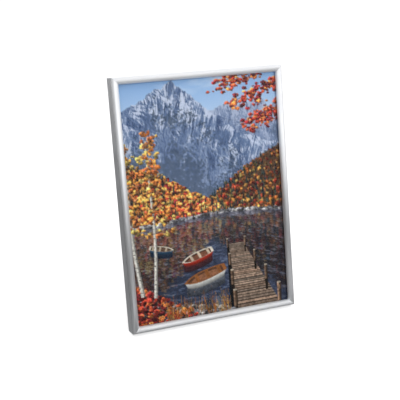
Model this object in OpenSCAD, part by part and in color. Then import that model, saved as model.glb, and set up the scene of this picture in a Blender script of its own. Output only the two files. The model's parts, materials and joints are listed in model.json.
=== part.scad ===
// Picture frame for one A4 sheet: four mitred half-round mouldings on hidden corner keys, a glazed
// sheet stack held in by turn clips, and an easel strut on a riveted hinge.
// Every piece is drawn upright: x to the right, y back from the crown of the bead, z up from the
// outer bottom edge. lean_back() then stands the frame on its lower back edge and on the strut.

/* [Sheets] */
// Width of the glass, print, card and back panel
sheet_w = 210; // [150:1:420]
// Height of the glass, print, card and back panel
sheet_h = 297; // [220:1:600]
// Thickness of the glass
glass_t = 2; // [1.5:0.1:3]
// Thickness of the print
print_t = 0.25; // [0.15:0.05:0.5]
// Thickness of the backing card
card_t = 1; // [0.5:0.1:2]
// Thickness of the back panel
panel_t = 3; // [2.4:0.1:4]

/* [Moulding] */
// Width of the half-round bead across the face
bead_w = 8; // [7:0.5:14]
// Wall of the hollow bead
bead_wall = 1.2; // [0.8:0.1:1.6]
// Thickness of the flat side wall behind the bead
wall_t = 1.2; // [1:0.1:2]
// Depth of the frame from the crown of the bead to the back edge
frame_d = 21; // [20:0.5:35]
// Thickness of the ledge that the glass lies against
ledge_t = 1.2; // [1:0.1:2]
// Space between each edge of the sheets and the side wall
sheet_play = 1.3; // [1:0.1:2.5]
// Width of the shadow groove between the bead and the side wall
groove_w = 0.7; // [0.4:0.1:1]
// Depth of the shadow groove
groove_d = 0.5; // [0.3:0.1:0.7]
// Thickness of the rib that holds the clips
rib_t = 1; // [0.8:0.1:2]
// Chamfer along the two back edges of the side wall
edge_c = 0.3; // [0.1:0.05:0.45]

/* [Corner keys] */
// Length of each leg of a key from the outer corner
key_leg = 26; // [18:1:50]
// Clearance all round a key in the hollow bead
key_play = 0.1; // [0.05:0.05:0.3]

/* [Turn clips] */
// Width of a clip
clip_w = 8; // [7:0.5:12]
// Thickness of a clip
clip_t = 0.8; // [0.6:0.1:1.2]
// Distance from a clip's rivet to its tip
clip_reach = 13; // [11:0.5:20]
// Distance from a clip's rivet to the back of its finger lug
clip_tail = 8; // [6:0.5:10]
// Height of the finger lug above the clip
lug_h = 2.6; // [1:0.1:4]

/* [Rivets] */
// Radius of a rivet's shank
shank_r = 1.25; // [1:0.05:1.6]
// Radius of a rivet's head
rivet_head_r = 2.6; // [2:0.1:3.2]
// Height of a rivet's domed head
rivet_head_h = 0.7; // [0.5:0.1:1]
// Radius of the flat tail at the other end
tail_r = 2.2; // [1.8:0.1:2.6]
// Thickness of the flat tail
tail_h = 0.6; // [0.4:0.1:0.8]

/* [Strut and hinge] */
// Lean of the standing frame from upright, in degrees
lean = 13; // [12:0.5:18]
// Opening of the strut from the back panel at its stop, in degrees
open_angle = 18; // [17:0.5:30]
// Thickness of the strut
strut_t = 3; // [2.4:0.1:4]
// Width of the strut at the hinge
strut_top_w = 36; // [34:1:60]
// Width of the strut at the foot
strut_foot_w = 70; // [50:1:110]
// Width of the arch between the two toes of the foot
arch_w = 40; // [20:1:44]
// Height of the arch
arch_h = 5; // [2:0.5:10]
// Width of both hinge leaves
leaf_w = 30; // [28:1:34]
// Length of each hinge leaf from the pin
leaf_h = 20; // [18:1:30]
// Thickness of the hinge leaves and of the stop tongue
leaf_t = 0.8; // [0.6:0.1:1]
// Outer radius of the hinge knuckles
knuckle_r = 1.7; // [1.6:0.1:2.2]
// Width of the middle knuckle
mid_knuckle_w = 12; // [8:0.5:13]
// Radius of the hinge pin
pin_r = 0.9; // [0.7:0.05:1]
// Radius of the pin's two formed heads
pin_head_r = 1.5; // [1.2:0.1:1.6]
// Thickness of the pin's heads
pin_head_h = 0.5; // [0.3:0.1:1]
// Reach of the stop tongue above the pin
tongue_h = 8; // [6:0.5:10]

/* [Hangers] */
// Width of a hanger plate
hanger_w = 16; // [15:0.5:20]
// Thickness of a hanger plate
hanger_t = 1; // [0.8:0.1:1.5]
// Radius of the hanger's eye
eye_r = 3.5; // [2.5:0.1:4.5]
// Distance from the outer edge of the frame to the centre of the eye
eye_drop = 26; // [22:1:50]
// Space between the back panel and the raised part of a hanger
hanger_lift = 2.4; // [1.6:0.1:3.5]
// Length of the hanger's riveted foot
hanger_foot_h = 9; // [8:0.5:14]
// Length of the sloping part between the foot and the raised part
hanger_ramp_h = 2.5; // [2:0.5:5]

/* [Hidden] */
$fn = 64;
overrun = 1;        // how far every cut runs past what it cuts

// Clearances
load_gap = 0.2;     // between the sheets' edges and the ribs while the stack is loaded
clip_gap = 0.1;     // between a clip and the back panel, and under its rivet's head
rib_gap = 0.3;      // between a clip and the rib in front of which it turns
tip_gap = 0.2;      // between a clip's tip and the side wall
turn_play = 0.05;   // all round a shank or a pin that something turns on
seat_play = 0.1;    // all round a rivet's tail in its recess, and above it
knuckle_gap = 0.3;  // between the knuckles and what they pass
fold_gap = 0.2;     // between the folded strut and the back panel
stop_gap = 0.05;    // between the stop tongue and the panel leaf

// Outer size
frame_w = sheet_w + 2 * (sheet_play + wall_t);
frame_h = sheet_h + 2 * (sheet_play + wall_t);

// Depths from the crown of the bead, front to back
bead_r = bead_w / 2;
glass_y = bead_r + ledge_t;
print_y = glass_y + glass_t;
card_y = print_y + print_t;
panel_y = card_y + card_t;
panel_back = panel_y + panel_t;
clip_y = panel_back + clip_gap;
rib_y = clip_y + clip_t + rib_gap;
rib_d = sheet_play - load_gap;

// Turn clips: a side, and a place along it from its middle
clip_place_share = 0.25;
short_clip_place_share = 0.3;
long_place = clip_place_share * frame_h;
short_place = short_clip_place_share * frame_w;
clip_spots = [["left", -long_place], ["left", long_place],
    ["right", long_place], ["right", -long_place],
    ["top", short_place], ["top", -short_place],
    ["bottom", -short_place], ["bottom", short_place]];
pivot_a = wall_t + tip_gap + clip_reach;

// Hinge pin, and the strut's length and slope once it stands open
hinge_height_share = 0.735;
rivet_rise_share = 0.6;
rivet_spread_share = 1 / 3;
pin_y = panel_back + knuckle_r + knuckle_gap;
pin_z = hinge_height_share * frame_h;
lift = (frame_d - edge_c) * sin(lean);
pin_height = pin_z * cos(lean) - pin_y * sin(lean) + lift;
tilt = open_angle - lean;
strut_front = fold_gap - knuckle_r - knuckle_gap;
strut_back = strut_front + strut_t;
leaf_rivet_x = leaf_w * rivet_spread_share;
leaf_rivet_z = leaf_h * rivet_rise_share;
function foot_reach(y) = (pin_height + y * sin(tilt)) / cos(tilt);

// Hanger rivets, from the centre of the eye
hanger_spread_share = 0.28;
hanger_rivet_x = hanger_w * hanger_spread_share;
raised_h = hanger_w / 2;
hanger_rivet_z = -(raised_h + hanger_ramp_h + hanger_foot_h / 2);

// The footprint of the leaning frame is centred on the origin
front_y = bead_r * (cos(lean) + sin(lean) - 1);
top_back_y = frame_d * cos(lean) + (frame_h - edge_c) * sin(lean);
pin_back_y = pin_y * cos(lean) + pin_z * sin(lean);
foot_back_y = pin_back_y + foot_reach(strut_back) * sin(tilt) + strut_back * cos(tilt);
centre_y = (front_y + max(top_back_y, foot_back_y)) / 2;

// Placing

module lean_back()
    translate([0, -centre_y, lift])
        rotate([-lean, 0, 0])
            children();

// Quarter turns from the bottom to the named side, clockwise from the front
function quarter_turns(side) =
    side == "left" ? 1 : side == "top" ? 2 : side == "right" ? 3 : 0;

// Draws children as on the bottom side, x along the side and z inward from its outer edge
module at_side(side)
    translate([0, 0, frame_h / 2])
        rotate([0, 90 * quarter_turns(side), 0])
            translate([0, 0, -(side == "top" || side == "bottom" ? frame_h : frame_w) / 2])
                children();

// A flat outline, x right and z up, given thickness t backward from depth y
module plate(y, t)
    translate([0, y + t, 0])
        rotate([90, 0, 0])
            linear_extrude(t)
                children();

// A section, z inward or up and y back, drawn out along x about the middle
module bar(length)
    rotate([0, -90, 0])
        linear_extrude(length, center = true)
            children();

// Children drawn along z then run along the depth
module along_depth(x, y, z)
    translate([x, y, z])
        rotate([-90, 0, 0])
            children();

module at_pin()
    translate([0, pin_y, pin_z])
        children();

module opened()
    at_pin()
        rotate([open_angle, 0, 0])
            children();

// Moulding

module half_round(r)
    difference() {
        circle(r);
        translate([-r - overrun, 0])
            square([2 * (r + overrun), r + overrun]);
    }

module moulding_section() {
    difference() {
        union() {
            translate([bead_r, bead_r])
                half_round(bead_r);
            polygon([[0, bead_r], [bead_w, bead_r], [bead_w, glass_y], [wall_t, glass_y],
                [wall_t, rib_y], [wall_t + rib_d, rib_y], [wall_t + rib_d, rib_y + rib_t],
                [wall_t, rib_y + rib_t], [wall_t, frame_d - edge_c], [wall_t - edge_c, frame_d],
                [edge_c, frame_d], [0, frame_d - edge_c]]);
        }
        translate([bead_r, bead_r])
            half_round(bead_r - bead_wall);
        translate([-overrun, bead_r])
            square([overrun + groove_d, groove_w]);
    }
}

module rail(length)
    intersection() {
        bar(length)
            moulding_section();
        plate(-overrun, frame_d + 2 * overrun)
            polygon([[-length / 2, 0], [length / 2, 0], [length / 2 - bead_w, bead_w],
                [bead_w - length / 2, bead_w]]);
    }

module top_rail() color("silver") lean_back() at_side("top") rail(frame_w);
module bottom_rail() color("silver") lean_back() at_side("bottom") rail(frame_w);
module left_rail() color("silver") lean_back() at_side("left") rail(frame_h);
module right_rail() color("silver") lean_back() at_side("right") rail(frame_h);

// Corner keys

// One leg of the key at the left end of the bottom rail, cut on the mitre
module key_leg_bar()
    intersection() {
        translate([key_leg / 2, 0, 0])
            bar(key_leg)
                translate([bead_r, bead_r - key_play])
                    half_round(bead_r - bead_wall - 2 * key_play);
        plate(-overrun, frame_d)
            polygon([[0, 0], [key_leg, 0], [key_leg, bead_w], [bead_w, bead_w]]);
    }

module corner_key()
    union() {
        key_leg_bar();
        rotate([0, -90, 0])
            mirror([0, 0, 1])
                key_leg_bar();
    }

module bottom_left_key()
    color("gainsboro")
        lean_back()
            translate([-frame_w / 2, 0, 0])
                corner_key();

module bottom_right_key()
    color("gainsboro")
        lean_back()
            translate([frame_w / 2, 0, 0])
                mirror([1, 0, 0])
                    corner_key();

module top_left_key()
    color("gainsboro")
        lean_back()
            translate([-frame_w / 2, 0, frame_h])
                mirror([0, 0, 1])
                    corner_key();

module top_right_key()
    color("gainsboro")
        lean_back()
            translate([frame_w / 2, 0, frame_h])
                rotate([0, 180, 0])
                    corner_key();

// Sheets, which stand on the bottom rail's side wall

module sheet(y, t)
    translate([-sheet_w / 2, y, wall_t])
        cube([sheet_w, t, sheet_h]);

module glass() color("lightblue", 0.4) lean_back() sheet(glass_y, glass_t);
module photo_print() color("steelblue") lean_back() sheet(print_y, print_t);
module backing_card() color("ivory") lean_back() sheet(card_y, card_t);

// A rivet's hole through a board, with the recess for its tail in the board's front
module rivet_hole(front, back) {
    translate([0, 0, front - overrun])
        cylinder(r = shank_r + turn_play, h = back - front + 2 * overrun);
    translate([0, 0, front - overrun])
        cylinder(r = tail_r + seat_play, h = overrun + seat_play + tail_h);
}

// A rivet along z, its tail recessed behind front and its head seated at back
module rivet(front, back) {
    translate([0, 0, front + seat_play])
        cylinder(r = tail_r, h = tail_h);
    translate([0, 0, front + seat_play])
        cylinder(r = shank_r, h = back - front - seat_play + rivet_head_h / 2);
    translate([0, 0, back])
        rivet_head();
}

// A low dome, as the cap of a sphere
module rivet_head() {
    dome_r = (rivet_head_r * rivet_head_r + rivet_head_h * rivet_head_h) / (2 * rivet_head_h);
    rotate_extrude()
        intersection() {
            translate([0, rivet_head_h - dome_r])
                circle(dome_r);
            square([rivet_head_r, rivet_head_h]);
        }
}

module back_panel()
    color("peru")
        lean_back()
            difference() {
                sheet(panel_y, panel_t);
                for (spot = clip_spots)
                    at_side(spot[0])
                        along_depth(spot[1], 0, pivot_a)
                            rivet_hole(panel_y, panel_back);
                for (x = [-leaf_rivet_x, leaf_rivet_x])
                    along_depth(x, 0, pin_z + leaf_rivet_z)
                        rivet_hole(panel_y, panel_back);
                at_hangers()
                    for (x = [-hanger_rivet_x, hanger_rivet_x])
                        along_depth(x, 0, hanger_rivet_z)
                            rivet_hole(panel_y, panel_back);
            }

// Turn clips

// A round-ended strip with a finger lug bent up at its tail, its rivet hole at the origin
module clip() {
    difference() {
        plate(clip_y, clip_t)
            union() {
                translate([-clip_w / 2, clip_w / 2 - clip_reach])
                    square([clip_w, clip_reach - clip_w / 2 + clip_tail]);
                translate([0, clip_w / 2 - clip_reach])
                    circle(clip_w / 2);
            }
        along_depth(0, clip_y - overrun, 0)
            cylinder(r = shank_r + turn_play, h = clip_t + 2 * overrun);
    }
    translate([-clip_w / 2, clip_y, clip_tail - clip_t])
        cube([clip_w, clip_t + lug_h, clip_t]);
}

module clip_at(side, along)
    color("lightgrey")
        lean_back()
            at_side(side)
                translate([along, 0, pivot_a])
                    clip();

module left_upper_clip() clip_at("left", -long_place);
module left_lower_clip() clip_at("left", long_place);
module right_upper_clip() clip_at("right", long_place);
module right_lower_clip() clip_at("right", -long_place);
module top_left_clip() clip_at("top", short_place);
module top_right_clip() clip_at("top", -short_place);
module bottom_left_clip() clip_at("bottom", -short_place);
module bottom_right_clip() clip_at("bottom", short_place);

module clip_rivets()
    color("grey")
        lean_back()
            for (spot = clip_spots)
                at_side(spot[0])
                    along_depth(spot[1], 0, pivot_a)
                        rivet(panel_y, clip_y + clip_t + clip_gap);

// Strut and hinge, drawn about the pin with the strut hanging straight down

module strut_outline()
    difference() {
        reach = foot_reach(strut_back);
        arch_r = (arch_w * arch_w / 4 + arch_h * arch_h) / (2 * arch_h);
        polygon([[-strut_top_w / 2, 0], [strut_top_w / 2, 0], [strut_foot_w / 2, -reach],
            [-strut_foot_w / 2, -reach]]);
        translate([0, arch_h - arch_r - reach])
            circle(arch_r);
    }

module strut()
    color("sienna")
        lean_back()
            opened()
                difference() {
                    intersection() {
                        plate(strut_front, strut_t)
                            strut_outline();
                        bar(strut_foot_w + 2 * overrun)
                            polygon([[-knuckle_r - knuckle_gap, strut_front],
                                [-knuckle_r - knuckle_gap, strut_back],
                                [-foot_reach(strut_back), strut_back],
                                [-foot_reach(strut_front), strut_front]]);
                    }
                    for (x = [-leaf_rivet_x, leaf_rivet_x])
                        along_depth(x, 0, -leaf_rivet_z)
                            rivet_hole(strut_front, strut_back);
                }

// A knuckle along x from one place to another
module knuckle(from, to)
    translate([from, 0, 0])
        rotate([0, 90, 0])
            cylinder(r = knuckle_r, h = to - from);

module pin_bore()
    translate([-leaf_w / 2 - overrun, 0, 0])
        rotate([0, 90, 0])
            cylinder(r = pin_r + turn_play, h = leaf_w + 2 * overrun);

module leaf_rivet_bores(z)
    for (x = [-leaf_rivet_x, leaf_rivet_x])
        along_depth(x, -frame_d, z)
            cylinder(r = shank_r + turn_play, h = 2 * frame_d);

// The fixed leaf lies on the back panel above the pin, notched for the middle knuckle
module panel_leaf() {
    notch_w = mid_knuckle_w + 2 * knuckle_gap;
    notch_h = knuckle_r + knuckle_gap;
    color("darkgrey")
        lean_back()
            at_pin()
                difference() {
                    union() {
                        plate(-knuckle_r - knuckle_gap, leaf_t)
                            translate([-leaf_w / 2, 0])
                                square([leaf_w, leaf_h]);
                        knuckle(-leaf_w / 2, leaf_w / 2);
                    }
                    translate([-notch_w / 2, -2 * notch_h, -2 * notch_h])
                        cube([notch_w, 4 * notch_h, 3 * notch_h]);
                    pin_bore();
                    leaf_rivet_bores(leaf_rivet_z);
                }
}

// The moving leaf lies on the strut's back, with a tongue that meets the fixed leaf when open
module strut_leaf()
    color("darkgrey")
        lean_back()
            difference() {
                union() {
                    opened() {
                        plate(strut_back, leaf_t)
                            translate([-leaf_w / 2, -leaf_h])
                                square([leaf_w, leaf_h - knuckle_r]);
                        translate([-mid_knuckle_w / 2, 0, -knuckle_r - knuckle_gap])
                            cube([mid_knuckle_w, strut_back + leaf_t, leaf_t]);
                    }
                    at_pin() {
                        knuckle(-mid_knuckle_w / 2, mid_knuckle_w / 2);
                        plate(leaf_t + stop_gap - knuckle_r - knuckle_gap, leaf_t)
                            translate([-mid_knuckle_w / 2, pin_r])
                                square([mid_knuckle_w, tongue_h - pin_r]);
                    }
                }
                at_pin()
                    pin_bore();
                opened()
                    leaf_rivet_bores(-leaf_rivet_z);
            }

module hinge_pin()
    color("grey")
        lean_back()
            at_pin()
                rotate([0, 90, 0]) {
                    cylinder(r = pin_r, h = leaf_w + 2 * pin_head_h, center = true);
                    for (end = [-1, 1])
                        translate([0, 0, end * (leaf_w + pin_head_h) / 2])
                            cylinder(r = pin_head_r, h = pin_head_h, center = true);
                }

module panel_leaf_rivets()
    color("grey")
        lean_back()
            for (x = [-leaf_rivet_x, leaf_rivet_x])
                along_depth(x, 0, pin_z + leaf_rivet_z)
                    rivet(panel_y, panel_back + leaf_t);

module strut_leaf_rivets()
    color("grey")
        lean_back()
            opened()
                for (x = [-leaf_rivet_x, leaf_rivet_x])
                    along_depth(x, 0, -leaf_rivet_z)
                        rivet(strut_front, strut_back + leaf_t);

// Hangers, drawn about the centre of the eye

module at_portrait_eye()
    translate([0, 0, frame_h - eye_drop])
        children();

module at_landscape_eye()
    translate([frame_w / 2 - eye_drop, 0, frame_h / 2])
        rotate([0, 90, 0])
            children();

module at_hangers() {
    at_portrait_eye()
        children();
    at_landscape_eye()
        children();
}

// A strip with a flat foot, a slope and a raised end that holds the eye
module hanger() {
    foot_top = -raised_h - hanger_ramp_h;
    foot_end = foot_top - hanger_foot_h;
    raised_y = panel_back + hanger_lift;
    difference() {
        intersection() {
            bar(hanger_w)
                polygon([[foot_end, panel_back], [foot_top, panel_back], [-raised_h, raised_y],
                    [hanger_w / 2, raised_y], [hanger_w / 2, raised_y + hanger_t],
                    [-raised_h, raised_y + hanger_t], [foot_top, panel_back + hanger_t],
                    [foot_end, panel_back + hanger_t]]);
            plate(0, frame_d)
                union() {
                    circle(hanger_w / 2);
                    translate([-hanger_w / 2, foot_end])
                        square([hanger_w, -foot_end]);
                }
        }
        along_depth(0, 0, 0)
            cylinder(r = eye_r, h = frame_d);
        for (x = [-hanger_rivet_x, hanger_rivet_x])
            along_depth(x, 0, hanger_rivet_z)
                cylinder(r = shank_r + turn_play, h = frame_d);
    }
}

module portrait_hanger() color("darkgrey") lean_back() at_portrait_eye() hanger();
module landscape_hanger() color("darkgrey") lean_back() at_landscape_eye() hanger();

module hanger_rivets()
    color("grey")
        lean_back()
            at_hangers()
                for (x = [-hanger_rivet_x, hanger_rivet_x])
                    along_depth(x, 0, hanger_rivet_z)
                        rivet(panel_y, panel_back + hanger_t);

top_rail();
bottom_rail();
left_rail();
right_rail();
top_left_key();
top_right_key();
bottom_left_key();
bottom_right_key();
glass();
photo_print();
backing_card();
back_panel();
left_upper_clip();
left_lower_clip();
right_upper_clip();
right_lower_clip();
top_left_clip();
top_right_clip();
bottom_left_clip();
bottom_right_clip();
clip_rivets();
strut();
panel_leaf();
strut_leaf();
hinge_pin();
panel_leaf_rivets();
strut_leaf_rivets();
portrait_hanger();
landscape_hanger();
hanger_rivets();
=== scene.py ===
import json
import math

import bmesh
import bpy
import numpy as np
from mathutils import Matrix, Vector


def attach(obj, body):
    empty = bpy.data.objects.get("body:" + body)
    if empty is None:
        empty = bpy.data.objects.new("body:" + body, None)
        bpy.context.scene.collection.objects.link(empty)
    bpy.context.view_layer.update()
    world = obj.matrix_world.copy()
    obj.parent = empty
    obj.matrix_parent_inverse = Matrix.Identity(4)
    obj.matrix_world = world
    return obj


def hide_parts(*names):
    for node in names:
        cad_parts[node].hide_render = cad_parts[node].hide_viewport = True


# Silver picture frame for one A4 sheet, standing on its easel strut

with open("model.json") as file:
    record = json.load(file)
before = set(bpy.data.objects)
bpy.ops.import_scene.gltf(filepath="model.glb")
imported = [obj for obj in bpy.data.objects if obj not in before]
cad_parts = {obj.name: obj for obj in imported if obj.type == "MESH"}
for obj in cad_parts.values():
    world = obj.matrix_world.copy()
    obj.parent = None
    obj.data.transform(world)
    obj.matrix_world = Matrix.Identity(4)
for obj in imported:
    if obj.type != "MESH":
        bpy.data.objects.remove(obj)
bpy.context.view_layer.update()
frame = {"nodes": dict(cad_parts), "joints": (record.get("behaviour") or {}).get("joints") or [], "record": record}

# Setting out. The frame leans back, so pieces are drawn upright in mm: x to the right, y back from the
# crown of the bead, z up from the outer bottom edge. standing takes them to the leaning frame in metres

railNodes = ["top_rail", "bottom_rail", "left_rail", "right_rail"]
joints = {joint["name"]: joint for joint in frame["joints"]}
backward = joints["left_upper_clip_turn"]["axis"]           # the clips turn about the frame's own depth
lean = math.atan2(-backward[2], backward[1])
mm = 0.001


def uprightPoints(node):
    turn = Matrix.Rotation(lean, 4, "X")
    return [turn @ vertex.co / mm for vertex in frame["nodes"][node].data.vertices]


railPoints = [point for node in railNodes for point in uprightPoints(node)]
railLow, railHigh = (Vector(map(pick, zip(*railPoints))) for pick in (min, max))
origin = Vector((0, railLow.y, railLow.z))
frameWidth, frameDepth, frameHeight = railHigh - railLow
standing = Matrix.Rotation(-lean, 4, "X") @ Matrix.Scale(mm, 4) @ Matrix.Translation(origin)


def uprightBox(node):
    points = [point - origin for point in uprightPoints(node)]
    return Vector(map(min, zip(*points))), Vector(map(max, zip(*points)))


def uprightPlace(position):
    return standing.inverted() @ Vector(position)


glassLow, glassHigh = uprightBox("glass")
printLow, printHigh = uprightBox("photo_print")
panelLow, panelHigh = uprightBox("back_panel")
pin = uprightPlace(joints["strut_hinge"]["pos_m"])
openAngle = -math.radians(joints["strut_hinge"]["range_deg"][0])
strutOpen = standing @ Matrix.Translation((0, pin.y, pin.z)) @ Matrix.Rotation(openAngle, 4, "X")

# Outlines and meshes

fourCorners = ((-1, -1), (1, -1), (1, 1), (-1, 1))
outlining = {"degreesPerStep": 7.5, "leastSteps": 4, "support": 0.2, "near": 0.01, "same": 1e-5}


def roundCorner(before, corner, after, radius):
    there, onward = (before - corner).normalized(), (after - corner).normalized()
    turn = math.pi - there.angle(onward)
    steps = max(outlining["leastSteps"], math.ceil(math.degrees(turn) / outlining["degreesPerStep"]))
    reach = radius * math.tan(turn / 2)
    centre = corner + (there + onward).normalized() * radius / math.cos(turn / 2)
    start, end = corner + there * reach - centre, corner + onward * reach - centre
    side = 1 if start.x * end.y - start.y * end.x > 0 else -1
    points = []
    for step in range(steps + 1):
        angle = side * turn * step / steps
        points.append(centre + Vector((start.x * math.cos(angle) - start.y * math.sin(angle),
                                       start.x * math.sin(angle) + start.y * math.cos(angle))))
    return points


# Corners are (x, y, radius). Long straights get two more points, so that shading bends only at their ends
def rounded(corners, closed=True):
    spots = [Vector(corner[:2]) for corner in corners]
    count = len(spots)
    runs = []
    for i, (x, y, radius) in enumerate(corners):
        bends = radius > 0 and (closed or 0 < i < count - 1)
        after = spots[(i + 1) % count]
        runs.append(roundCorner(spots[i - 1], spots[i], after, radius) if bends else [spots[i]])
    points = []
    support = outlining["support"]
    for i, run in enumerate(runs):
        points += run
        if i == count - 1 and not closed:
            break
        gap = runs[(i + 1) % count][0] - run[-1]
        if gap.length > 4 * support:
            points += [run[-1] + gap.normalized() * support, run[-1] + gap - gap.normalized() * support]
    same = outlining["same"]
    return [point for i, point in enumerate(points) if i == 0 or (point - points[i - 1]).length > same]


def circleLoop(x, y, radius, steps=40):
    turns = [2 * math.pi * step / steps for step in range(steps)]
    return [Vector((x + radius * math.cos(turn), y + radius * math.sin(turn))) for turn in turns]


def signedArea(loop):
    return sum(a.x * b.y - b.x * a.y for a, b in zip(loop, loop[1:] + loop[:1])) / 2


def facing(loop, anticlockwise):
    return loop if (signedArea(loop) > 0) == anticlockwise else loop[::-1]


# The loop moved into its material by some distance, for a loop that has the material on its left
def inset(loop, distance):
    moved = []
    for i, point in enumerate(loop):
        along = (loop[(i + 1) % len(loop)] - point).normalized() + (point - loop[i - 1]).normalized()
        along.normalize()
        moved.append(point - Vector((along.y, -along.x)) * distance)
    return moved


def addRing(bm, points):
    return [bm.verts.new(point) for point in points]


# A ring of one vertex is a tip
def joinRings(bm, rings):
    for first, second in zip(rings, rings[1:]):
        for i in range(max(len(first), len(second))):
            corners = [ring[place % len(ring)]
                       for ring, place in ((first, i), (first, i + 1), (second, i + 1), (second, i))]
            bm.faces.new(list(dict.fromkeys(corners)))


def capRings(bm, rings):
    edges = [bm.edges.get((vertex, after)) for ring in rings
             for vertex, after in zip(ring, ring[1:] + ring[:1])]
    bmesh.ops.triangle_fill(bm, use_beauty=True, edges=edges)


# How an edge is rounded, as (inset, height) from the flat of one face to the flat of the other
def edgeSteps(thickness, edge, steps=3):
    half = thickness / 2
    top = [(2.5 * edge, half)]
    for step in range(steps + 1):
        angle = math.pi / 2 * step / steps
        top.append((edge * (1 - math.sin(angle)), half - edge * (1 - math.cos(angle))))
    return top + [(shift, -height) for shift, height in reversed(top)]


# A flat plate in x and y, its faces at half its thickness above and below 0, with holes
def makePlate(outer, holes, thickness, edge):
    bm = bmesh.new()
    ends = ([], [])
    for loop in [facing(outer, True)] + [facing(hole, False) for hole in holes]:
        rings = [addRing(bm, [(p.x, p.y, height) for p in inset(loop, shift)])
                 for shift, height in edgeSteps(thickness, edge)]
        joinRings(bm, rings)
        ends[0].append(rings[0])
        ends[1].append(rings[-1])
    for rings in ends:
        capRings(bm, rings)
    return bm


# Bends a plate's y along a path of (y, z) points, its height along the path's normal, and keeps its x
def bendAlong(bm, path):
    points = np.array([tuple(point) for point in path])
    steps = np.diff(points, axis=0)
    lengths = np.hypot(steps[:, 0], steps[:, 1])
    places = np.concatenate([[0], np.cumsum(lengths)])
    for place in places[1:-1]:
        everything = bm.verts[:] + bm.edges[:] + bm.faces[:]
        bmesh.ops.bisect_plane(bm, geom=everything, dist=outlining["same"], plane_co=(0, place, 0),
                               plane_no=(0, 1, 0))
    headings = steps / lengths[:, None]
    atPoints = np.vstack([headings[:1], headings[1:] + headings[:-1], headings[-1:]])
    atPoints /= np.hypot(atPoints[:, 0], atPoints[:, 1])[:, None]
    for vertex in bm.verts:
        x, along, height = vertex.co
        centre = [np.interp(along, places, points[:, i]) for i in (0, 1)]
        heading = [np.interp(along, places, atPoints[:, i]) for i in (0, 1)]
        vertex.co = (x, centre[0] - heading[1] * height, centre[1] + heading[0] * height)
    return bm


def pathLength(path):
    return sum((b - a).length for a, b in zip(path, path[1:]))


# A profile of (radius, height) points from the axis round to the axis, turned about z
def makeLathe(profile, steps=48):
    bm = bmesh.new()
    rings = []
    for radius, height in profile:
        points = circleLoop(0, 0, radius, steps) if radius else [Vector((0, 0))]
        rings.append(addRing(bm, [(p.x, p.y, height) for p in points]))
    joinRings(bm, rings)
    return bm


def moved(bm, matrix):
    bmesh.ops.transform(bm, matrix=matrix, verts=bm.verts[:])
    return bm


# Stands up a plate that was made in x and y, its middle at one depth
def stoodUp(depth):
    return Matrix.Translation((0, depth, 0)) @ Matrix.Rotation(math.pi / 2, 4, "X")


# Quarter turns about the depth, clockwise from the front, at one x and z
def turnedAt(x, z, turns):
    return Matrix.Translation((x, 0, z)) @ Matrix.Rotation(math.pi / 2 * turns, 4, "Y")


def linked(name, data):
    made = bpy.data.objects.new(name, data)
    bpy.context.scene.collection.objects.link(made)
    return made


# Several meshes become one object, placed in the world, with smooth shading up to an angle
def makePiece(name, parts, placing, material, sharpAngle=40):
    mesh = bpy.data.meshes.new(name)
    whole = bmesh.new()
    for part in parts:
        bmesh.ops.recalc_face_normals(part, faces=part.faces[:])
        passing = bpy.data.meshes.new("passing")
        part.to_mesh(passing)
        part.free()
        whole.from_mesh(passing)
        bpy.data.meshes.remove(passing)
    whole.to_mesh(mesh)
    whole.free()
    mesh.transform(placing)
    mesh.shade_smooth()
    mesh.set_sharp_from_angle(angle=math.radians(sharpAngle))
    mesh.materials.append(material)
    return linked(name, mesh)


def settle(piece, body, slot, *nodes):
    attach(piece, body)
    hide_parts(*nodes)


# Materials

def linear(red, green, blue):
    shares = [channel / 255 for channel in (red, green, blue)]
    return tuple(s / 12.92 if s <= 0.04045 else ((s + 0.055) / 1.055) ** 2.4 for s in shares) + (1,)


def addNode(tree, kind, inputs=None, **settings):
    made = tree.nodes.new("ShaderNode" + kind)
    for key, value in settings.items():
        setattr(made, key, value)
    for key, value in (inputs or {}).items():
        if isinstance(value, bpy.types.NodeSocket):
            tree.links.new(value, made.inputs[key])
        else:
            made.inputs[key].default_value = value
    return made


def outputOf(tree, kind, inputs=None, **settings):
    return addNode(tree, kind, inputs, **settings).outputs[0]


def emptied(owner):
    owner.use_nodes = True
    owner.node_tree.nodes.clear()
    return owner.node_tree


# A material, its node tree, and the socket of a point's place on the piece, in metres
def newMaterial(name):
    material = bpy.data.materials.new(name)
    tree = emptied(material)
    return material, tree, addNode(tree, "TexCoord").outputs["Object"]


def shaded(material, kind, inputs):
    shader = outputOf(material.node_tree, kind, inputs)
    addNode(material.node_tree, "OutputMaterial", {"Surface": shader})
    return material


# The settings below hold each noise as its scale, detail, roughness and stretch
def noise(tree, place, scale, detail=4, roughness=0.55, stretch=(1, 1, 1)):
    mapped = outputOf(tree, "Mapping", {"Vector": place, "Scale": stretch})
    return outputOf(tree, "TexNoise", {"Vector": mapped, "Scale": scale, "Detail": detail,
                                       "Roughness": roughness})


def spread(tree, value, low, high, fromLow=0.3, fromHigh=0.7):
    return outputOf(tree, "MapRange", {"Value": value, "From Min": fromLow, "From Max": fromHigh,
                                       "To Min": low, "To Max": high})


def lerp(tree, share, low, high):
    return spread(tree, share, low, high, 0, 1)


def softStep(tree, value, start, end):
    return outputOf(tree, "MapRange", {"Value": value, "From Min": start, "From Max": end},
                    interpolation_type="SMOOTHSTEP")


# Each colour is a socket, or (red, green, blue) out of 255
def blend(tree, share, *colours):
    first, second = (linear(*colour) if isinstance(colour, tuple) else colour for colour in colours)
    return addNode(tree, "Mix", {0: share, 6: first, 7: second}, data_type="RGBA").outputs[2]


def math2(tree, operation, first, second):
    return outputOf(tree, "Math", {0: first, 1: second}, operation=operation)


def bump(tree, height, strength, distance):
    return outputOf(tree, "Bump", {"Height": height, "Strength": strength, "Distance": distance})


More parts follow.
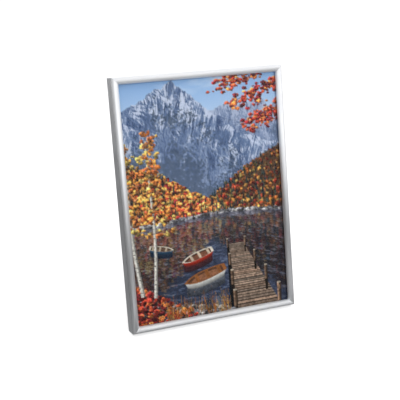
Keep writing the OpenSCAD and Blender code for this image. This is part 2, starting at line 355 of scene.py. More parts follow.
# lines are drawn along the rail and spread the gloss across it. touched is what handling adds to roughness. The
# groove's colour is painted shade, laid darker in the recess
satin = {"colour": (226, 228, 231), "paler": (234, 235, 237), "metallic": 0.85,
         "lines": (1, 6, 0.7, (9, 5200, 1)), "bands": (1, 3, 0.5, (14, 420, 1)), "touch": (38, 5, 0.6),
         "roughness": (0.29, 0.37), "touched": (-0.03, 0.05), "bump": (0.35, 0.004 * mm), "drawn": 1.0,
         "drawnTurn": 0.25, "groove": (62, 63, 65), "grooveSoft": 0.04 * mm}


# The groove is painted darker, as painted shade in the recess. It lies between two places along the moulding's
# outline
def satinAluminium(grooveStart, grooveEnd):
    material, tree, place = newMaterial("satinAluminium")
    s, soft = satin, satin["grooveSoft"]
    along = outputOf(tree, "UVMap", uv_map="along")
    lines, bands = (noise(tree, along, *s[key]) for key in ("lines", "bands"))
    touch = noise(tree, place, *s["touch"])
    outline = addNode(tree, "SeparateXYZ", {"Vector": along}).outputs["Y"]
    past = softStep(tree, outline, grooveStart - soft, grooveStart + soft)
    before = softStep(tree, outline, grooveEnd + soft, grooveEnd - soft)
    colour = blend(tree, spread(tree, bands, 0, 1), s["colour"], s["paler"])
    gloss = math2(tree, "ADD", spread(tree, lines, *s["roughness"]), spread(tree, touch, *s["touched"]))
    return shaded(material, "BsdfPrincipled", {
        # painted shade: the colour is darkened over the groove
        "Base Color": blend(tree, math2(tree, "MULTIPLY", past, before), colour, s["groove"]),
        "Metallic": s["metallic"],
        "Roughness": gloss,
        "Normal": bump(tree, lines, *s["bump"]),
        "Tangent": outputOf(tree, "Tangent", direction_type="UV_MAP", uv_map="along"),
        "Anisotropic": s["drawn"],
        "Anisotropic Rotation": s["drawnTurn"]})


# The colours are clean, dull and warm
plate = {"colours": ((172, 176, 180), (148, 152, 158), (186, 184, 176)), "clouds": (130, 4, 0.6),
         "fine": (2600, 3, 0.6), "warmth": (60, 2), "warmShare": 0.5, "roughness": (0.3, 0.48),
         "speckled": (-0.04, 0.04), "bump": (0.2, 0.01 * mm)}


def platedSteel(name, tint=(0, 0, 0)):
    material, tree, place = newMaterial(name)
    clouds, fine, warmth = (noise(tree, place, *plate[key]) for key in ("clouds", "fine", "warmth"))
    clean, dull, warm = (tuple(c + t for c, t in zip(colour, tint)) for colour in plate["colours"])
    colour = blend(tree, spread(tree, clouds, 0, 1), dull, clean)
    speckles = spread(tree, fine, *plate["speckled"])
    gloss = math2(tree, "ADD", spread(tree, clouds, *plate["roughness"]), speckles)
    return shaded(material, "BsdfPrincipled", {
        "Base Color": blend(tree, spread(tree, warmth, 0, plate["warmShare"]), colour, warm),
        "Metallic": 1.0,
        "Roughness": gloss,
        "Normal": bump(tree, fine, *plate["bump"])})


# screen is the weave that the press leaves, with threads 1.4 mm apart
board = {"colour": (118, 84, 56), "dark": (92, 63, 41), "pale": (146, 110, 78),
         "fibres": (900, 5, 0.7, (1, 1, 0.35)), "cross": (900, 5, 0.7, (0.35, 1, 1)),
         "blotches": (28, 3, 0.5), "flecks": (420, 2, 0.4),
         "fibreShare": (0, 0.55, 0.45, 0.75), "fleckShare": (0, 0.5, 0.62, 0.72),
         "screen": {"Scale": 0.314 / (1.4 * mm), "Distortion": 0.4}, "screenShare": 0.3, "screenHeight": -1.4,
         "roughness": (0.62, 0.8), "specular": 0.35, "bump": (0.6, 0.08 * mm)}


def pressedBoard():
    material, tree, place = newMaterial("pressedBoard")
    b = board
    fibres, cross, blotches, flecks = (noise(tree, place, *b[key])
                                       for key in ("fibres", "cross", "blotches", "flecks"))
    waves = [addNode(tree, "TexWave", {"Vector": place, **b["screen"]}, bands_direction=way).outputs["Fac"]
             for way in ("X", "Z")]
    woven = math2(tree, "MULTIPLY", *waves)
    colour = blend(tree, spread(tree, blotches, 0, 1), b["colour"], b["dark"])
    colour = blend(tree, spread(tree, fibres, *b["fibreShare"]), colour, b["pale"])
    colour = blend(tree, spread(tree, flecks, *b["fleckShare"]), colour, b["dark"])
    colour = blend(tree, math2(tree, "MULTIPLY", woven, b["screenShare"]), colour, b["dark"])
    pressed = math2(tree, "MULTIPLY", woven, b["screenHeight"])
    height = math2(tree, "ADD", math2(tree, "ADD", fibres, cross), pressed)
    return shaded(material, "BsdfPrincipled", {
        "Base Color": colour,
        "Roughness": spread(tree, cross, *b["roughness"]),
        "Specular IOR Level": b["specular"],
        "Normal": bump(tree, height, *b["bump"])})


cardboard = {"colours": ((226, 223, 214), (236, 234, 227)), "fibres": (1400, 5, 0.7), "roughness": 0.85,
             "bump": (0.3, 0.02 * mm)}


def paleCard():
    material, tree, place = newMaterial("paleCard")
    fibres = noise(tree, place, *cardboard["fibres"])
    return shaded(material, "BsdfPrincipled", {
        "Base Color": blend(tree, spread(tree, fibres, 0, 1), *cardboard["colours"]),
        "Roughness": cardboard["roughness"],
        "Normal": bump(tree, fibres, *cardboard["bump"])})


casting = {"colours": ((150, 151, 153), (172, 173, 175)), "grains": (1500, 4, 0.6), "roughness": (0.5, 0.65),
           "bump": (0.4, 0.03 * mm)}


def castAlloy():
    material, tree, place = newMaterial("castAlloy")
    grains = noise(tree, place, *casting["grains"])
    return shaded(material, "BsdfPrincipled", {
        "Base Color": blend(tree, spread(tree, grains, 0, 1), *casting["colours"]),
        "Metallic": 1.0,
        "Roughness": spread(tree, grains, *casting["roughness"]),
        "Normal": bump(tree, grains, *casting["bump"])})


pane = {"tint": (0.985, 0.995, 0.99, 1), "index": 1.45, "sheen": 0.4, "smears": (22, 5, 0.6),
        "roughness": (0.004, 0.03)}


def clearGlass():
    material, tree, place = newMaterial("clearGlass")
    through = outputOf(tree, "BsdfTransparent", {"Color": pane["tint"]})
    smears = noise(tree, place, *pane["smears"])
    mirror = outputOf(tree, "BsdfAnisotropic", {"Roughness": spread(tree, smears, *pane["roughness"])})
    share = math2(tree, "MULTIPLY", outputOf(tree, "Fresnel", {"IOR": pane["index"]}), pane["sheen"])
    return shaded(material, "MixShader", {0: share, 1: through, 2: mirror})


photo = {"grain": (1800, 3, 0.6), "values": (0.93, 1.07), "roughness": (0.34, 0.42), "specular": 0.12}


def printedPaper():
    material, tree, place = newMaterial("printedPaper")
    picture = addNode(tree, "Attribute", attribute_name="picture").outputs["Color"]
    grain = noise(tree, place, *photo["grain"])
    values = spread(tree, grain, *photo["values"])
    return shaded(material, "BsdfPrincipled", {
        "Base Color": outputOf(tree, "HueSaturation", {"Color": picture, "Value": values}),
        "Roughness": spread(tree, grain, *photo["roughness"]),
        "Specular IOR Level": photo["specular"]})


zinc = platedSteel("zincPlate")
hingeSteel = platedSteel("hingePlate", (-8, -7, -4))
rivetSteel = platedSteel("rivetPlate", (12, 12, 12))
hardboard = pressedBoard()
card = paleCard()
alloy = castAlloy()
print("materials made:", len(bpy.data.materials))

# Rails: a hollow half-round bead on a flat side wall, mitred at both ends

moulding = {
    "beadWidth": 8.0,
    "beadWall": 1.2,
    "wall": 1.2,
    "ledge": 1.2,
    "lipRound": 0.35,
    "grooveWidth": 0.7,
    "grooveDepth": 0.5,
    "grooveRound": 0.12,
    "ribThickness": 1.0,
    "ribDepth": 1.1,
    "ribBehindPanel": 1.2,
    "innerRound": 0.18,
    "backRound": 0.3,
    "mitreGap": 0.05,          # each rail stops this far short of the mitre
    "mitreRound": 0.16,
}


# Both outlines are (x, y) from the outer front corner of the rail: x into the window, y back
def mouldingOutline():
    m = moulding
    wide, half, wall = m["beadWidth"], m["beadWidth"] / 2, m["wall"]
    ledgeBack, ribFront = half + m["ledge"], panelHigh.y + m["ribBehindPanel"]
    ribBack, ribIn = ribFront + m["ribThickness"], wall + m["ribDepth"]
    grooveIn, grooveBack = m["grooveDepth"], half + m["grooveWidth"]
    inner, back, small = m["innerRound"], m["backRound"], m["grooveRound"]
    return rounded([
        (wall, ledgeBack, inner), (wall, ribFront, inner), (ribIn, ribFront, inner), (ribIn, ribBack, inner),
        (wall, ribBack, inner), (wall, frameDepth, back), (0, frameDepth, back), (0, grooveBack, small),
        (grooveIn, grooveBack, small), (grooveIn, half, small), (0, half, 0), (0, 0, half), (wide, 0, half),
        (wide, ledgeBack, m["lipRound"])])


def hollowOutline():
    half, wall, inner = moulding["beadWidth"] / 2, moulding["beadWall"], moulding["innerRound"]
    far, bow = moulding["beadWidth"] - wall, half - wall
    return rounded([(wall, wall, bow), (far, wall, bow), (far, half, inner), (wall, half, inner)])


def placesAlong(loop):
    return np.concatenate([[0], np.cumsum([(b - a).length for a, b in zip(loop, loop[1:])])])


def grooveSpan():
    half, width, near = moulding["beadWidth"] / 2, moulding["grooveWidth"], outlining["near"]
    loop = facing(mouldingOutline(), True)
    within = [place * mm for point, place in zip(loop, placesAlong(loop))
              if point.x < moulding["wall"] / 2 and half - near < point.y < half + width + near]
    return min(within), max(within)


aluminium = satinAluminium(*grooveSpan())


# Drawn along x as on the bottom side, with the section's first value upward and its second one back
def makeRail(length):
    bm = bmesh.new()
    mapping = bm.loops.layers.uv.new("along")
    reached = {}
    ends = ([], [])
    for loop, isHole in ((mouldingOutline(), False), (hollowOutline(), True)):
        loop = facing(loop, not isHole)
        sunk = inset(loop, moulding["mitreRound"] / 2)
        end, edge = moulding["mitreGap"], moulding["mitreGap"] + moulding["mitreRound"]
        perimeter = placesAlong(loop)
        rings = []
        for side, points, stop in ((-1, sunk, end), (-1, loop, edge), (1, loop, edge), (1, sunk, end)):
            spots = [(side * (length / 2 - p.x - stop), p.y, p.x) for p in points]
            rings.append(addRing(bm, spots))
            for vertex, spot, place in zip(rings[-1], spots, perimeter):
                reached[vertex] = (spot[0] * mm, place * mm)
        joinRings(bm, rings)
        ends[0].append(rings[0])
        ends[1].append(rings[-1])
    for pair in ends:
        capRings(bm, pair)
    for face in bm.faces:
        for corner in face.loops:
            corner[mapping].uv = reached[corner.vert]
    return bm


# Quarter turns from the bottom, clockwise from the front, as (node, turns, length)
railSides = [("bottom_rail", 0, frameWidth), ("left_rail", 1, frameHeight), ("top_rail", 2, frameWidth),
             ("right_rail", 3, frameHeight)]


def atSide(turns):
    across = frameHeight if turns % 2 == 0 else frameWidth
    return turnedAt(0, frameHeight / 2, turns) @ Matrix.Translation((0, 0, -across / 2))


for node, turns, length in railSides:
    rail = makePiece(node + "_moulding", [makeRail(length)], standing @ atSide(turns), aluminium)
    settle(rail, "frame", "satin_aluminium", node)
print("rails made:", len(railSides))

# Glass, card and keys

glazing = {"edge": 0.25}


# A board in the frame's plane between two corners of a box, with round holes
def boardPiece(name, low, high, edge, material, holes=(), holeRadius=0.0, corner=0.4):
    spots = ((low.x, low.z), (high.x, low.z), (high.x, high.z), (low.x, high.z))
    loops = [circleLoop(hole.x, hole.z, holeRadius, 24) for hole in holes]
    bm = makePlate(rounded([(x, z, corner) for x, z in spots]), loops, high.y - low.y, edge)
    return makePiece(name, [moved(bm, stoodUp((low.y + high.y) / 2))], standing, material)


glassPane = boardPiece("glass_pane", glassLow, glassHigh, glazing["edge"], clearGlass())
settle(glassPane, "frame", "glass", "glass")
keyNodes = ["top_left_key", "top_right_key", "bottom_left_key", "bottom_right_key"]
for node, material in [("backing_card", card)] + [(node, alloy) for node in keyNodes]:
    frame["nodes"][node].data.materials.clear()
    frame["nodes"][node].data.materials.append(material)

# Print: a made-up landscape, painted as a colour for every point of a fine grid. Its x runs from 0 to 1
# across, and its y down on the same scale

painting = {
    "columns": 262,
    "rows": 371,
    "finer": 2,                # points painted for each one kept, both ways
    "seed": 5,
    "skyShare": 0.62,          # the share of the rows that sky and mountains fill
    "leafScale": 95,
    "paperWhite": 0.9,
}
chance = np.random.default_rng(painting["seed"])
lattice = chance.random((8, 256, 256))


def shade(*channels):
    return np.array(channels, dtype=float) / 255


pigments = {
    "skyTop": shade(134, 172, 219),
    "skyLow": shade(194, 213, 235),
    "cloud": shade(228, 234, 243),
    "rockShade": shade(44, 60, 96),
    "rock": shade(98, 119, 156),
    "rockLight": shade(160, 175, 204),
    "snow": shade(206, 213, 232),
    "farWoods": shade(54, 68, 88),
    "haze": shade(128, 143, 176),
    "golds": shade((196, 130, 62), (210, 152, 78), (180, 104, 52), (156, 86, 48), (146, 126, 70),
                   (112, 74, 50)),
    "reds": shade((156, 54, 42), (184, 78, 50), (122, 38, 40), (196, 112, 60), (88, 32, 36)),
    "conifers": shade((34, 46, 50), (50, 62, 58), (28, 38, 46)),
    "undergrowth": shade(84, 60, 44),
    "water": shade(34, 42, 60),
    "waterFar": shade(92, 98, 120),
    "mirrored": shade(200, 190, 200),
    "glint": shade(150, 168, 202),
    "stones": shade((150, 150, 156), (112, 112, 120), (178, 176, 176), (92, 88, 92)),
    "planks": shade(150, 128, 112),
    "plankDrift": shade(6, 2, 0),
    "deckGaps": shade(30, 26, 26),
    "deckEnd": shade(16, 18, 26),
    "deckShadow": shade(14, 18, 26),
    "post": shade(96, 76, 62),
    "postTop": shade(196, 182, 164),
    "boatShadow": shade(14, 18, 28),
    "seat": shade(28, 18, 8),
    "trunk": shade(226, 222, 214),
    "barkMark": shade(52, 46, 46),
    "twig": shade(44, 30, 30),
}


def someOf(key):
    choices = pigments[key]
    return choices[chance.integers(len(choices))] * chance.uniform(0.82, 1.16)


def latticeNoise(x, y, layer):
    column, row = np.floor(x).astype(int), np.floor(y).astype(int)
    u, v = x - column, y - row
    u, v = u * u * (3 - 2 * u), v * v * (3 - 2 * v)
    values = lattice[layer % len(lattice)]
    size = len(values)
    corners = [[values[(row + j) % size, (column + i) % size] for i in (0, 1)] for j in (0, 1)]
    upper, lower = (pair[0] * (1 - u) + pair[1] * u for pair in corners)
    return upper * (1 - v) + lower * v


def layeredNoise(x, y, layers, first=0, gain=0.5, ridged=False):
    total, size, reach = 0, 1, 0
    for layer in range(layers):
        value = latticeNoise(x * 2 ** layer, y * 2 ** layer, first + layer)
        total = total + size * (1 - np.abs(2 * value - 1) if ridged else value)
        reach += size
        size *= gain
    return total / reach


def blendColours(first, second, share):
    share = np.clip(share, 0, 1)[..., None]
    return first * (1 - share) + second * share


# The part of the canvas round a shape, and the shape laid over it
def region(canvas, left, top, right, bottom):
    rows, columns = canvas["x"].shape
    spots = [int(value * canvas["unit"]) for value in (left, top, right, bottom)]
    return (slice(max(0, spots[1] - 1), max(0, min(rows, spots[3] + 2))),
            slice(max(0, spots[0] - 1), max(0, min(columns, spots[2] + 2))))


def lay(canvas, window, share, colour, light=None):
    if light is not None:
        colour = np.clip(colour * light[..., None], 0, 1)
    canvas["shown"][window] = blendColours(canvas["shown"][window], colour, share)


def crown(canvas, x, y, wide, high, colour, edge=5, rough=1.9, contrast=1.0):
    window = region(canvas, x - 1.4 * wide, y - 1.4 * high, x + 1.4 * wide, y + 1.4 * high)
    u, v = (canvas["x"][window] - x) / wide, (canvas["y"][window] - y) / high
    leaf = canvas["leaf"][window] - 0.5
    light = 0.92 + contrast * (leaf * 2.2 - 0.3 * u - 0.5 * v)
    lay(canvas, window, (1 - u * u - v * v + leaf * rough) * edge, colour, light)


def conifer(canvas, x, foot, high, colour):
    wide = high * 0.17
    window = region(canvas, x - 1.6 * wide, foot - high, x + 1.6 * wide, foot)
    u, v = (canvas["x"][window] - x) / wide, (canvas["y"][window] - foot + high) / high
    leaf = canvas["leaf"][window] - 0.5
    half = v * (0.7 + 0.45 * (v * 8 % 1)) + leaf * 0.7
    lay(canvas, window, (half - np.abs(u)) * 6 * (v > 0), colour, 1 + leaf * 1.4 - 0.35 * u)


def polygon(canvas, points, colour, rough=0.0):
    xs, ys = zip(*points)
    window = region(canvas, min(xs), min(ys), max(xs), max(ys))
    x, y = canvas["x"][window], canvas["y"][window]
    inside = np.zeros(x.shape, bool)
    for (ax, ay), (bx, by) in zip(points, points[1:] + points[:1]):
        if ay != by:
            inside ^= ((ay > y) != (by > y)) & (x < (bx - ax) * (y - ay) / (by - ay) + ax)
    lay(canvas, window, inside.astype(float), colour, 1 + rough * (canvas["leaf"][window] - 0.5))


# A four-sided polygon. Each end is its (left, right, y)
def strip(canvas, first, last, colour, rough):
    points = [(first[0], first[2]), (first[1], first[2]), (last[1], last[2]), (last[0], last[2])]
    polygon(canvas, points, colour, rough)


def lineAt(points, x):
    return np.interp(x, *zip(*points))


def paintSky(canvas):
    x, y = canvas["x"], canvas["y"]
    sky = blendColours(pigments["skyTop"], pigments["skyLow"], y / 0.34)
    cloud = layeredNoise(x * 3.1 + y * 1.5, y * 11, 5, 2)
    canvas["shown"][:] = blendColours(sky, pigments["cloud"], (cloud - 0.52) * 3.2)


ridges = [
    {"line": ((0, 0.27), (0.3, 0.3), (0.52, 0.235), (0.64, 0.17), (0.72, 0.2), (0.84, 0.155), (0.93, 0.2),
              (1, 0.19)), "scale": 9, "distance": 0.42, "layer": 3},
    {"line": ((0, 0.19), (0.07, 0.15), (0.15, 0.13), (0.22, 0.075), (0.29, 0.05), (0.335, 0.03), (0.38, 0.07),
              (0.45, 0.11), (0.52, 0.19), (0.6, 0.24), (0.7, 0.33), (0.85, 0.39), (1, 0.44)),
     "scale": 6.5, "distance": 0.0, "layer": 0},
]


# Rock lit by the slope of a ridged noise, with snow at the top and woods at the foot
def paintRidge(canvas, line, scale, distance, layer):
    x, y, unit = canvas["x"], canvas["y"], canvas["unit"]
    jag = (layeredNoise(x * 26, y * 3, 4, layer + 5, 0.6) - 0.5) * 0.055
    depth = y - lineAt(line, x) - jag
    warpX = x + 0.10 * (layeredNoise(x * 5, y * 5, 3, layer + 1) - 0.5)
    warpY = y + 0.16 * (layeredNoise(x * 4 + 9, y * 4, 3, layer + 4) - 0.5)
    tall = layeredNoise(warpX * scale * 1.35 + warpY * 2.2, warpY * scale * 0.62, 7, layer, 0.62, True)
    down, across = np.gradient(tall)
    lit = 0.47 + unit * (0.020 * across - 0.012 * down) + 0.5 * (tall - 0.5)
    lit = lit + 0.35 * (layeredNoise(x * 7, y * 5, 3, 6) - 0.5)
    snow = (lit - 0.56) * 5 + (0.16 - depth) * 6 + (layeredNoise(x * 30, y * 22, 4, 2) - 0.6) * 5
    woods = (canvas["leaf"] - 0.46) * 6 + (depth - 0.33) * 7 + (layeredNoise(x * 9, y * 9, 3, 4) - 0.5) * 5
    stone = pigments["rockShade"]
    for key, share in (("rock", lit * 1.9), ("rockLight", (lit - 0.52) * 2.6),
                       ("snow", np.clip(snow, 0, 0.85)), ("farWoods", np.clip(woods, 0, 0.75)),
                       ("haze", distance + np.clip((depth - 0.12) * 0.8, 0, 0.28))):
        stone = blendColours(stone, pigments[key], share)
    lay(canvas, np.s_[:, :], depth * unit * 0.5, stone)


# conifers is their share of the trees
hills = [
    {"line": ((0.3, 0.83), (0.46, 0.745), (0.6, 0.65), (0.75, 0.545), (0.88, 0.47), (1, 0.42)),
     "bottom": 0.815, "count": 1500, "size": 0.0105, "conifers": 0.34, "light": 0.8},
    {"line": ((0, 0.44), (0.12, 0.49), (0.26, 0.56), (0.42, 0.66), (0.56, 0.745), (0.68, 0.83)),
     "bottom": 0.83, "count": 1900, "size": 0.0125, "conifers": 0.13, "light": 1.02},
]


def paintHill(canvas, line, bottom, count, size, conifers, light):
    ground = pigments["undergrowth"] * (0.5 + canvas["leaf"][..., None])
    above = canvas["y"] - lineAt(line, canvas["x"])
    lay(canvas, np.s_[:, :], (above * 90 + canvas["leaf"] - 1) * (canvas["y"] < bottom), ground)
    trees = []
    for _ in range(count):
        x = chance.uniform(-0.03, 1.03)
        top = lineAt(line, x)
        y = top + (bottom - top) * chance.random() ** 0.9
        if top < bottom - 0.01:
            trees.append((y, x))
    for y, x in sorted(trees):
        near = np.clip((y - 0.42) / (bottom - 0.42), 0, 1)
        radius = size * (0.55 + 0.75 * near) * chance.uniform(0.75, 1.25)
        if chance.random() < conifers:
            conifer(canvas, x, y + radius, radius * chance.uniform(3.2, 4.6), someOf("conifers"))
        else:
            key = "reds" if chance.random() < 0.16 + 0.2 * near else "golds"
            crown(canvas, x, y, radius, radius * 1.1, someOf(key) * (0.86 + 0.2 * near) * light)


farShore = {"line": ((0, 0.835), (0.2, 0.83), (0.36, 0.815), (0.6, 0.8), (0.8, 0.812), (1, 0.83)),
            "stones": 260}


def paintShore(canvas):
    for _ in range(farShore["stones"]):
        x = chance.random()
        y = lineAt(farShore["line"], x) + chance.uniform(-0.012, 0.006)
        size = chance.uniform(0.004, 0.013)
        crown(canvas, x, y, size * 1.5, size, someOf("stones") * 0.9, 9, 0.5, 0.8)


def paintWater(canvas):
    unit, line = canvas["unit"], farShore["line"]
    rows, columns = canvas["x"].shape
    below = np.s_[int(min(y for x, y in line) * unit) - 4:, :]
    x, y = canvas["x"][below], canvas["y"][below]
    shore = lineAt(line, x)
    depth = np.clip(y - shore, 0, None)
    waves = np.log(depth * 16 + 1)
    ripple = layeredNoise(x * 26 / (0.25 + depth * 2.2), waves * 34, 3, 1)
    fine = layeredNoise(x * 80 / (0.3 + depth * 2.2), waves * 90, 2, 4)
    swing = (ripple - 0.5) * (0.02 + 0.32 * depth) + (fine - 0.5) * (0.006 + 0.07 * depth)
    above = np.minimum(shore - depth * 0.78 + swing, shore - 0.004)
    rowsFrom = np.clip(above * unit, 0, rows - 1).astype(int)
    columnsFrom = np.clip((x + (fine - 0.5) * 0.02) * unit, 0, columns - 1).astype(int)
    mirrored = canvas["shown"][rowsFrom, columnsFrom] * pigments["mirrored"]
    body = blendColours(pigments["waterFar"], pigments["water"], depth / 0.22)
    colour = blendColours(body, mirrored, 0.72 - depth * 0.75)
    colour = colour * (0.72 + 0.5 * ripple + 0.25 * (fine - 0.5))[..., None]
    glint = np.clip((ripple - 0.57) * 5 + (fine - 0.5) * 3, 0, 1)
    colour = blendColours(colour, pigments["glint"], glint * (0.42 - depth * 0.25))
    lay(canvas, below, (y - shore) * unit * 0.7, np.clip(colour, 0, 1))


jetty = {"near": (0.80, 1.43), "far": (0.66, 0.99), "halves": (0.15, 0.045), "planks": 34,
         "posts": (0.98, 0.74, 0.47, 0.14)}


# A spot of the deck, from 0 to 1 along it and from -1 to 1 across it, moved to the right and down
def deckSpot(along, across, right=0.0, down=0.0):
    (nearX, nearY), (farX, farY), (nearHalf, farHalf) = jetty["near"], jetty["far"], jetty["halves"]
    x = nearX + (farX - nearX) * along + across * (nearHalf + (farHalf - nearHalf) * along)
    return x + right, nearY + (farY - nearY) * along + down


def paintPost(canvas, x, foot, high, wide):
    colour = pigments["post"] * chance.uniform(0.85, 1.2)
    below = (x - wide * 0.8, x + wide * 0.8, foot + high * 0.75)
    strip(canvas, (x - wide, x + wide, foot), below, colour * 0.3, 1.6)
    for left, right, light in ((-1, -0.3, 1.5), (-0.3, 0.4, 1.0), (0.4, 1, 0.55)):
        sides = (x + wide * left, x + wide * right)
        strip(canvas, (*sides, foot), (*sides, foot - high), colour * light, 1.2)
    crown(canvas, x, foot - high, wide * 1.1, wide * 0.55, pigments["postTop"], 9, 0.3, 0.4)


def paintJetty(canvas):
    for corners, key, rough in (
            ([(0, -1), (1, -1), (1, -1, -0.012, 0.03), (0, -1, -0.05, 0.09)], "deckShadow", 0.6),
            ([(1, -1), (1, 1), (1, 1, 0.0, 0.03), (1, -1, -0.01, 0.03)], "deckEnd", 0.6),
            ([(0, -1), (1, -1), (1, 1), (0, 1)], "deckGaps", 0.0)):
        polygon(canvas, [deckSpot(*corner) for corner in corners], pigments[key], rough)
    places = np.linspace(0, 1, jetty["planks"] + 1) ** 0.66
    for first, second in zip(places, places[1:]):
        gap = (second - first) * 0.13
        colour = pigments["planks"] * chance.uniform(0.78, 1.2)
        colour = colour + pigments["plankDrift"] * chance.normal()
        corners = ((first + gap, -1), (second - gap, -1), (second - gap, 1), (first + gap, 1))
        polygon(canvas, [deckSpot(*corner) for corner in corners], np.clip(colour, 0, 1), 0.9)
    for along in jetty["posts"]:
        for side in (-1, 1):
            x, foot = deckSpot(along, side, side * 0.008, 0.012)
            paintPost(canvas, x, foot, 0.12 - 0.07 * along, 0.013 - 0.0075 * along)


boats = [
    {"x": 0.42, "y": 1.03, "along": (-0.10, 0.03), "wide": 0.034, "hull": shade(190, 52, 36),
     "rim": shade(228, 220, 206), "inside": shade(70, 44, 34)},
    {"x": 0.46, "y": 1.15, "along": (-0.135, 0.035), "wide": 0.046, "hull": shade(226, 226, 224),
     "rim": shade(150, 92, 52), "inside": shade(84, 56, 40)},
    {"x": 0.20, "y": 0.96, "along": (0.075, 0.016), "wide": 0.024, "hull": shade(42, 78, 110),
     "rim": shade(214, 206, 190), "inside": shade(60, 46, 38)},
]


# A spot forward and sideways of a boat's middle
def boatSpot(x, y, along, forward, sideways):
    length = math.hypot(*along)
    return (x + along[0] * forward - along[1] / length * sideways,
            y + along[1] * forward + along[0] / length * sideways * 0.62)


# The stern is cut straight
def boatOutline(x, y, along, wide, scale, cut=-0.92):
    points = []
    for turn in np.linspace(0, 2 * math.pi, 44, endpoint=False):
        t = max(cut, math.cos(turn))
        half = wide * scale * (1 - abs(t) ** 2.6 * 0.98 if t > 0 else 1 - 0.42 * abs(t) ** 2)
        if math.cos(turn) <= cut:
            half *= abs(math.sin(turn)) / math.sqrt(1 - cut * cut)
        points.append(boatSpot(x, y, along, t * scale, half if math.sin(turn) >= 0 else -half))
    return points


# Layers from the shadow in the water up to the rim, then the inside and three seats
def paintBoat(canvas, x, y, along, wide, hull, rim, inside):
    lift = wide * 0.75
    layers = []
    for share in (step / 13 for step in range(14)):
        dark = hull * (0.16 + 0.16 * share) + pigments["boatShadow"]
        layers.append((0, lift * (2.3 - 1.3 * share), 0.9 + 0.02 * share, dark, 0.8))
    for share in (step / 11 for step in range(12)):
        layers.append((0, lift * (1 - share), 0.86 + 0.12 * share, hull * (0.55 + 0.45 * share), 0.25))
    layers += [(0, 0, 1.02, rim * 0.8, 0.2), (0, -0.0015, 1.0, rim, 0.3), (0, 0.001, 0.86, inside, 0.5),
               (0.002, wide * 0.16, 0.7, inside * 1.7, 0.6)]
    for right, down, scale, colour, rough in layers:
        polygon(canvas, boatOutline(x + right, y + down, along, wide, scale), colour, rough)
    for place in (-0.62, -0.08, 0.4):
        reach = wide * (0.86 if place < 0.3 else 0.7)
        points = [boatSpot(x, y, along, place + 0.075 * b, reach * a) for a, b in fourCorners]
        polygon(canvas, points, rim * 0.72 + pigments["seat"], 0.5)


foreground = {"stones": 420, "bushes": 380, "blades": 160}


def paintForeground(canvas):
    for _ in range(foreground["stones"]):
        x = chance.uniform(-0.02, 0.62)
        y = chance.uniform(1.24 + 0.22 * x, 1.43)
        size = chance.uniform(0.008, 0.022) * (0.6 + (y - 1.2) * 3)
        crown(canvas, x, y, size * 1.3, size * 0.85, someOf("stones") * 0.85, 9, 0.7, 0.9)
    for _ in range(foreground["bushes"]):
        x = min(0.42, abs(chance.normal()) * 0.16)
        y = chance.uniform(1.13 + 0.6 * x, 1.43)
        size = chance.uniform(0.008, 0.02)
        crown(canvas, x, y, size, size * 0.8, someOf("reds"), 5, 3.0)
    for _ in range(foreground["blades"]):
        x = chance.uniform(0.2, 0.6)
        foot = 1.42 - chance.random() * 0.08
        high = chance.uniform(0.05, 0.15)
        tip = x + chance.normal() * 0.02
        polygon(canvas, [(x, foot), (x + 0.003, foot), (tip, foot - high)], someOf("golds") * 0.95, 0.4)


birches = [
    {"foot": (0.07, 1.22), "top": (0.02, 0.38), "wide": 0.013, "leaves": 110},
    {"foot": (0.15, 1.24), "top": (0.17, 0.34), "wide": 0.011, "leaves": 130},
]


def paintBirch(canvas, foot, top, wide, leaves):
    (fx, fy), (tx, ty) = foot, top
    steps = 34

    def bend(t):
        return fx + (tx - fx) * t + 0.012 * math.sin(t * 5 + fx * 40)

    for step in range(steps):
        t, u = step / steps, (step + 1) / steps
        low, high = wide * (1 - 0.55 * t), wide * (1 - 0.55 * u)
        start, end = fy + (ty - fy) * t, fy + (ty - fy) * u
        for left, right, light in ((-1, 0.25, 0.97), (0.25, 1, 0.6)):
            strip(canvas, (bend(t) + low * left, bend(t) + low * right, start),
                  (bend(u) + high * left, bend(u) + high * right, end), pigments["trunk"] * light, 0.5)
        reach, mark = chance.uniform(0.4, 1.5), chance.choice((-1, -0.4, 0.3))
        thick = 0.0035 * chance.uniform(0.5, 1.6)
        left, right = bend(t) + low * mark, bend(t) + low * min(1, mark + reach)
        polygon(canvas, [(left, start), (right, start), (right, start - thick), (left, start - thick * 0.6)],
                pigments["barkMark"], 0.6)
    for _ in range(leaves):
        t = chance.uniform(0.42, 1.06)
        swing = chance.normal() * 0.05 * (1.15 - t * 0.6)
        size = chance.uniform(0.008, 0.02)
        x, y = fx + (tx - fx) * t + swing, fy + (ty - fy) * t + abs(swing) * 0.5
        crown(canvas, x, y, size, size * 0.8, someOf("golds") * 1.12, 4, 3.2)


# Each twig has its two ends and its thickness at the first
maple = {"leaves": 150, "twigs": (((1.02, 0.05), (0.70, 0.17), 0.006), ((1.02, 0.2), (0.80, 0.3), 0.005),
                                  ((0.93, -0.02), (0.60, 0.06), 0.004))}


def paintMaple(canvas):
    for start, end, wide in maple["twigs"]:
        leaves = []
        for _ in range(maple["leaves"]):
            t = chance.random() ** 0.8
            x, y = (a + (b - a) * t for a, b in zip(start, end))
            leaves.append((x + chance.normal() * 0.03, y + chance.normal() * 0.026 + 0.012, t))
        twig = [start, end, (end[0], end[1] + 0.002), (start[0], start[1] + wide)]
        polygon(canvas, twig, pigments["twig"])
        for x, y, t in sorted(leaves, key=lambda leaf: leaf[2]):
            size = chance.uniform(0.006, 0.015)
            crown(canvas, x, y, size * 1.15, size * 0.75, someOf("reds") * 1.12, 5, 2.6)


